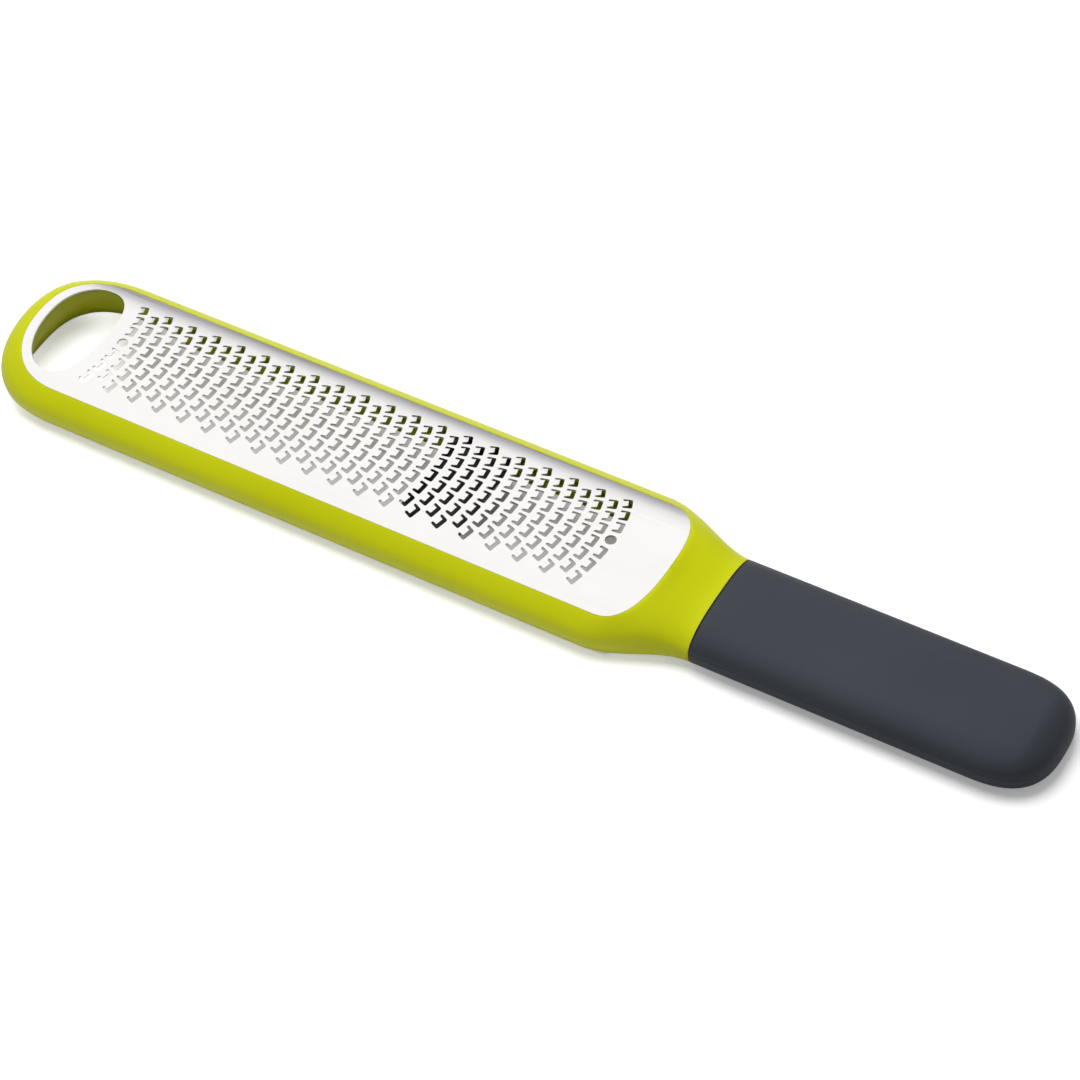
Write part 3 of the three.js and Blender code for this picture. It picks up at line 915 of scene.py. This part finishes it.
def buildPlate():
    spots, locating = toothSpots()
    plate = addObject("graterPlate", blankMesh(spots, locating))
    spotMesh = bpy.data.meshes.new("toothSpots")
    spotMesh.from_pydata(inMetres((x, s, 0) for x, s, _ in spots), [], [])
    turns = spotMesh.attributes.new("turn", "FLOAT", "POINT")
    turns.data.foreach_set("value", [turn for _, _, turn in spots])
    field, tooth = addObject("toothSpots", spotMesh), addObject("toothBlade", toothMesh())
    tree, sockets = rollTree()
    roll = plate.modifiers.new("roll", "NODES")
    roll.node_group = tree
    for name, value in (("Spots", field), ("Tooth", tooth), ("Crown Radius", crown * mm),
                        ("Crown Top", crownTop * mm), ("Finish", steel)):
        roll[sockets[name]] = value
    made = plainMesh(plate, roll)
    for obj in (field, tooth):
        bpy.data.objects.remove(obj)
    bm = bmesh.new()
    bm.from_mesh(made)
    bmesh.ops.remove_doubles(bm, verts=bm.verts, dist=plateSize["mergeGap"] * mm)
    bm.to_mesh(made)
    bm.free()
    softEdges(made, plateSize["sharpAngle"])
    crownNormals(made)
    return plate, len(spots)


graterPlate, toothCount = buildPlate()
print("plate made:", toothCount, "teeth,", len(graterPlate.data.polygons), "faces")

# wiper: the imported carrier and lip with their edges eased

wiperSize = {
    "carrierEase": 0.25,
    "lipEase": 0.15,
    "easeSegments": 3,
    "easeAngle": 40,
    "mergeGap": 0.002,
    "flatAngle": 0.6,
    "sharpAngle": 35,
}


def easedCopy(node, name, material, width):
    w = wiperSize
    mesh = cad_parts[node].data.copy()
    mesh.name = name
    bm = bmesh.new()
    bm.from_mesh(mesh)
    bmesh.ops.remove_doubles(bm, verts=bm.verts, dist=w["mergeGap"] * mm)
    bmesh.ops.dissolve_limit(bm, angle_limit=math.radians(w["flatAngle"]), verts=bm.verts, edges=bm.edges)
    bm.to_mesh(mesh)
    bm.free()
    mesh.materials.clear()
    mesh.materials.append(material)
    obj = addObject(name, mesh)
    bevel = obj.modifiers.new("ease", "BEVEL")
    bevel.width = width * mm
    bevel.segments = w["easeSegments"]
    bevel.limit_method = "ANGLE"
    bevel.angle_limit = math.radians(w["easeAngle"])
    softEdges(plainMesh(obj, bevel), w["sharpAngle"])
    return obj


wiperCarrier = easedCopy("wiper_carrier", "wiperCarrier", wiperBlack, wiperSize["carrierEase"])
wiperLip = easedCopy("wiper_lip", "wiperLip", lipBlack, wiperSize["lipEase"])
print("wiper made")

for piece, body, node, slot in (
    (greenFrame, "handle", "frame", "green_plastic"),
    (graterPlate, "handle", "grater_plate", "steel_plate"),
    (softGrip, "handle", "grip", "soft_grip"),
    (wiperCarrier, "wiper", "wiper_carrier", "dark_plastic"),
    (wiperLip, "wiper", "wiper_lip", "soft_lip"),
):
    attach(piece, body)
    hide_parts(node)

# stage: white floor, soft light from above and behind, camera as in the photograph

floorSize = {
    "side": 6000.0,
    "gap": 0.05,
    # how much the floor throws back beside the frame, beside the grip and under the tool, and to the camera;
    # it is darker under the tool and beside the grip as painted shade, which dims the light thrown onto the
    # tool
    "frameTone": 0.88,
    "gripTone": 0.5,
    "shadeTone": 0.64,
    "cameraTone": 0.78,
    # painted light added for the camera alone, less beside the grip, and hardly any under the teeth, which
    # are left in painted shade
    "frameLift": 0.42,
    "gripLift": 0.25,
    "shadeLift": 0.02,
    "farLift": 0.6,
    "farGlow": 0.36,
    "nearGlow": 0.2,
    # where these begin and end, along X, across Y or from the middle
    "liftTurn": (40.0, 70.0),
    "farFrom": (300.0, 900.0),
    "farSide": (9.0, 17.0),
    "nearSide": (7.0, -11.0),
    "shadeTip": (-132.0, -114.0),
    "shadeEnd": (40.0, 36.0),
    "shadeSide": (21.5, 19.0),
}


def floorMaterial():
    g = floorSize
    material = bpy.data.materials.new("paleFloor")
    material.use_nodes = True
    tree = material.node_tree
    make, link = tree.nodes.new, tree.links.new
    tree.nodes.remove(tree.nodes["Principled BSDF"])
    place, split = make("ShaderNodeTexCoord"), make("ShaderNodeSeparateXYZ")
    reach = make("ShaderNodeVectorMath")
    reach.operation = "LENGTH"
    link(place.outputs["Object"], split.inputs["Vector"])
    link(place.outputs["Object"], reach.inputs[0])
    x, y = split.outputs["X"], split.outputs["Y"]
    seen = make("ShaderNodeLightPath").outputs["Is Camera Ray"]

    def spread(value, name, toRange=fullRange):
        return rangeNode(tree, value, [v * mm for v in g[name]], toRange)

    def add(first, second):
        return mathNode(tree, "ADD", first, second)

    def times(first, second):
        return mathNode(tree, "MULTIPLY", first, second)

    # masks for the floor under the tool, and for the painted shade under its teeth
    under = times(spread(x, "shadeEnd"), spread(mathNode(tree, "ABSOLUTE", y), "shadeSide"))
    shade = times(spread(x, "shadeTip"), under)
    # painted light for the camera: the bare floor is lifted to white, most far off, and the floor under the
    # teeth hardly, as painted shade
    bare = spread(x, "liftTurn", (g["frameLift"], g["gripLift"]))
    near = add(times(bare, rangeNode(tree, shade, fullRange, (1, 0))),
               rangeNode(tree, shade, fullRange, (0, g["shadeLift"])))
    far = spread(reach.outputs["Value"], "farFrom", (0, g["farLift"]))
    # painted light: under the tool it is lighter towards the side walls
    sideGlow = add(spread(y, "farSide", (0, g["farGlow"])), spread(y, "nearSide", (0, g["nearGlow"])))
    lift = times(add(add(near, far), times(sideGlow, under)), seen)
    # painted shade in what the floor throws back: darker under the tool and beside the grip
    beside = spread(x, "liftTurn", (g["frameTone"], g["gripTone"]))
    bounce = rangeNode(tree, under, fullRange, (beside, g["shadeTone"]))
    tone = rangeNode(tree, seen, fullRange, (bounce, g["cameraTone"]))
    diffuse, shine = make("ShaderNodeBsdfDiffuse"), make("ShaderNodeEmission")
    both = make("ShaderNodeAddShader")
    link(tone, diffuse.inputs["Color"])
    link(lift, shine.inputs["Strength"])
    link(diffuse.outputs["BSDF"], both.inputs[0])
    link(shine.outputs["Emission"], both.inputs[1])
    # seen from below the floor is open, so that the underside shows
    clear, side = make("ShaderNodeBsdfTransparent"), make("ShaderNodeMixShader")
    link(make("ShaderNodeNewGeometry").outputs["Backfacing"], side.inputs["Fac"])
    link(both.outputs["Shader"], side.inputs[1])
    link(clear.outputs["BSDF"], side.inputs[2])
    link(side.outputs["Shader"], tree.nodes["Material Output"].inputs["Surface"])
    return material


def buildFloor():
    half, level = floorSize["side"] / 2, -floorSize["gap"]
    corners = [(x * half, y * half, level) for x, y in ((-1, -1), (1, -1), (1, 1), (-1, 1))]
    mesh = bpy.data.meshes.new("floor")
    mesh.from_pydata(inMetres(corners), [], [(0, 1, 2, 3)])
    mesh.materials.append(floorMaterial())
    floor = addObject("floor", mesh)


# directions in the sky run from -1 to 1 along each axis
skySize = {
    "light": 0.3,
    "duskLow": 0.19,
    "duskHigh": 0.315,
    "duskTone": (0.2, 0.19, 0.23),
    "boxButt": (-0.18, 0.05),
    "boxFront": (-0.30, -0.58),
    "boxFade": 0.45,
}


def buildSky():
    g = skySize
    world = bpy.data.worlds.new("studio")
    bpy.context.scene.world = world
    world.use_nodes = True
    tree = world.node_tree
    make, link = tree.nodes.new, tree.links.new
    sky = tree.nodes["Background"]
    path = make("ShaderNodeLightPath")
    seen, glossy = path.outputs["Is Camera Ray"], path.outputs["Is Glossy Ray"]
    place, split = make("ShaderNodeTexCoord"), make("ShaderNodeSeparateXYZ")
    link(place.outputs["Generated"], split.inputs["Vector"])
    # dusky grey low down and white above, seen only in reflections
    ramp = make("ShaderNodeValToRGB")
    low, high = ramp.color_ramp.elements
    low.position, low.color = g["duskLow"], (*g["duskTone"], 1)
    high.position, high.color = g["duskHigh"], (1, 1, 1, 1)
    link(split.outputs["Z"], ramp.inputs["Fac"])
    pick = make("ShaderNodeMix")
    pick.data_type = "RGBA"
    link(glossy, pick.inputs["Factor"])
    plain, mirrored = [socket for socket in pick.inputs if socket.type == "RGBA"]
    plain.default_value = (1, 1, 1, 1)
    link(ramp.outputs["Color"], mirrored)
    link([socket for socket in pick.outputs if socket.type == "RGBA"][0], sky.inputs["Color"])
    # full strength for the camera and reflections, dimmer as a light
    level = rangeNode(tree, mathNode(tree, "MAXIMUM", seen, glossy), fullRange, (g["light"], 1), "LINEAR")
    # the soft box above and behind has edges, past which reflections fade
    edges = [rangeNode(tree, split.outputs[axis], g[name], (1, g["boxFade"]))
             for axis, name in (("X", "boxButt"), ("Y", "boxFront"))]
    faded = rangeNode(tree, glossy, fullRange, (1, mathNode(tree, "MINIMUM", *edges)), "LINEAR")
    link(mathNode(tree, "MULTIPLY", level, faded), sky.inputs["Strength"])


lampSize = {"power": 9.2, "place": (-180.0, 140.0, 900.0), "across": 700.0}


def buildLamp():
    lamp = bpy.data.lights.new("keyLamp", "AREA")
    lamp.energy = lampSize["power"]
    lamp.shape = "DISK"
    lamp.size = lampSize["across"] * mm
    obj = addObject("keyLamp", lamp)
    place = Vector(lampSize["place"]) * mm
    obj.location = place
    obj.rotation_mode = "QUATERNION"
    obj.rotation_quaternion = (-place).to_track_quat("-Z", "Y")
    obj.visible_glossy = False


# found from the lattice of teeth in the photograph, with its place counted from the field's centre
cameraSize = {
    "lens": 108.84,
    "sensor": 36.0,
    "clipStart": 10.0,
    "place": (338.93, -394.02, 570.45),
    "right": (0.85580753, 0.51099965, -0.08045395),
    "up": (-0.34927942, 0.68553592, 0.63878353),
}


def buildCamera():
    firstX, pitches = toothField()
    centre = Vector((firstX + pitches * toothSize["columnPitch"] / 2, 0, crownTop))
    data = bpy.data.cameras.new("photoView")
    data.lens = cameraSize["lens"]
    data.sensor_width = cameraSize["sensor"]
    data.clip_start = cameraSize["clipStart"] * mm
    camera = addObject("photoView", data)
    right, up = Vector(cameraSize["right"]), Vector(cameraSize["up"])
    turn = Matrix((right, up, right.cross(up))).transposed().to_4x4()
    camera.matrix_world = Matrix.Translation((centre + Vector(cameraSize["place"])) * mm) @ turn
    bpy.context.scene.camera = camera


buildFloor()
buildSky()
buildLamp()
buildCamera()
bpy.context.scene.view_settings.view_transform = "Standard"
print("stage made")
